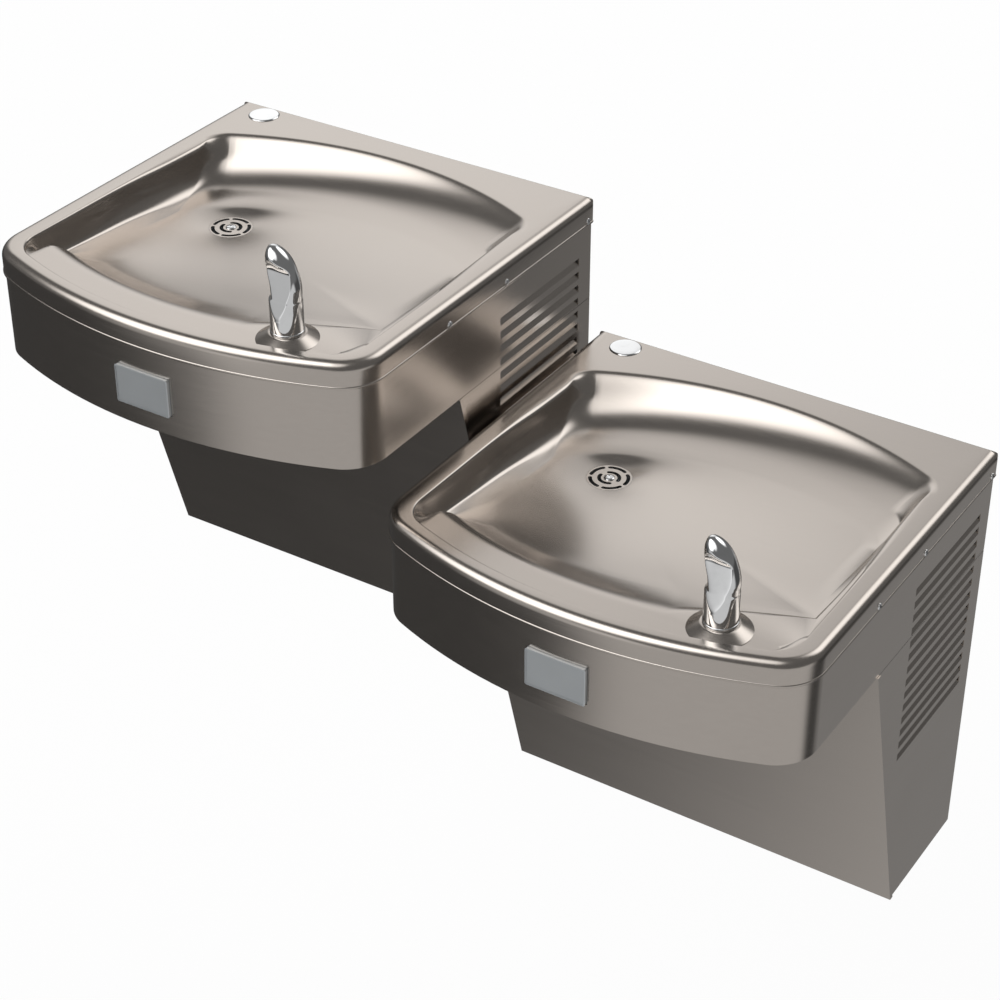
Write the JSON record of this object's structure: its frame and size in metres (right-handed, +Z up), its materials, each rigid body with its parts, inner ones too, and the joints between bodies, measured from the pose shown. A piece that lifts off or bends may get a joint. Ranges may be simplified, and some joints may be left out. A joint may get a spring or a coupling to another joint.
{
  "type": "bi-level wall-hung water cooler",
  "caption": "Bi-level wall-hung drinking fountain and water cooler with bowed stainless basins, push pads, leaning bubblers and louvered sides.",
  "frame": {"origin": "centre of the left station's wall bolt pattern, on the wall plane", "axes": "+X to the right along the wall, +Y into the wall, +Z up"},
  "size_m": [0.9448, 0.4721, 0.7331],
  "materials": {
    "brushed_stainless": "satin, grain along the width",
    "chrome": "mirror",
    "galvanised_steel": "matte spangle",
    "brass": "machined",
    "copper": "drawn tube",
    "grey_plastic": "satin",
    "black_plastic": "matte",
    "black_paint": "gloss",
    "black_rubber": "matte",
    "white_plastic": "satin",
    "tank_foam": "matte"
  },
  "bodies": {
    "cooler": {"upper_deck": "brushed_stainless", "upper_strainer": "brushed_stainless", "upper_strainer_screw": "chrome", "upper_hole_plug": "chrome", "upper_deck_screws": "chrome", "upper_apron": "brushed_stainless", "upper_cabinet": "brushed_stainless", "upper_front_panel": "brushed_stainless", "upper_panel_screws": "chrome", "upper_back_frame": "galvanised_steel", "upper_pedestal": "brushed_stainless", "upper_bubbler": "chrome", "upper_lock_nut": "brass", "upper_return_spring": "galvanised_steel", "upper_pad_housing": "black_plastic", "upper_valve_body": "brass", "upper_drain_cup": "galvanised_steel", "upper_waste_trap": "chrome", "upper_supply_tube": "white_plastic", "lower_deck": "brushed_stainless", "lower_strainer": "brushed_stainless", "lower_strainer_screw": "chrome", "lower_hole_plug": "chrome", "lower_deck_screws": "chrome", "lower_apron": "brushed_stainless", "lower_cabinet": "brushed_stainless", "lower_front_panel": "brushed_stainless", "lower_panel_screws": "chrome", "lower_back_frame": "galvanised_steel", "lower_pedestal": "brushed_stainless", "lower_bubbler": "chrome", "lower_lock_nut": "brass", "lower_return_spring": "galvanised_steel", "lower_pad_housing": "black_plastic", "lower_valve_body": "brass", "lower_drain_cup": "galvanised_steel", "lower_waste_trap": "chrome", "lower_supply_tube": "white_plastic", "crossover_tube": "copper", "crossover_grommets": "black_rubber", "unit_shelf": "galvanised_steel", "compressor": "black_paint", "compressor_grommets": "black_rubber", "condenser": "galvanised_steel", "fan_bracket": "galvanised_steel", "fan_motor": "galvanised_steel", "chilling_tank": "tank_foam", "filter_drier": "copper", "refrigerant_lines": "copper", "thermostat": "white_plastic", "electrical_box": "galvanised_steel", "stop_valve": "chrome", "inlet_tube": "copper"},
    "upper_button": {"upper_push_pad": "grey_plastic", "upper_valve_stem": "brass"},
    "lower_button": {"lower_push_pad": "grey_plastic", "lower_valve_stem": "brass"},
    "fan": {"fan_blade": "galvanised_steel"},
    "knob": {"thermostat_knob": "black_plastic"},
    "handle": {"stop_handle": "chrome"}
  },
  "joints": [
    {"name": "upper_pad_press", "type": "slide", "parent": "cooler", "child": "upper_button", "axis": [0, 1, 0], "range_m": [0, 0.005], "stiffness_N_per_m": 600, "springref_m": -0.004, "deforming": ["upper_return_spring"]},
    {"name": "lower_pad_press", "type": "slide", "parent": "cooler", "child": "lower_button", "axis": [0, 1, 0], "range_m": [0, 0.005], "stiffness_N_per_m": 600, "springref_m": -0.004, "deforming": ["lower_return_spring"]},
    {"name": "fan_spin", "type": "hinge", "parent": "cooler", "child": "fan", "pos_m": [0.6177, -0.097, -0.1151], "axis": [1, 0, 0], "continuous": true},
    {"name": "thermostat_turn", "type": "hinge", "parent": "cooler", "child": "knob", "pos_m": [0.5662, -0.04, -0.0051], "axis": [0, -1, 0], "range_deg": [0, 270]},
    {"name": "stop_handle_turn", "type": "hinge", "parent": "cooler", "child": "handle", "pos_m": [0.3162, -0.05, -0.1651], "axis": [0, -1, 0], "range_deg": [0, 90]}
  ]
}
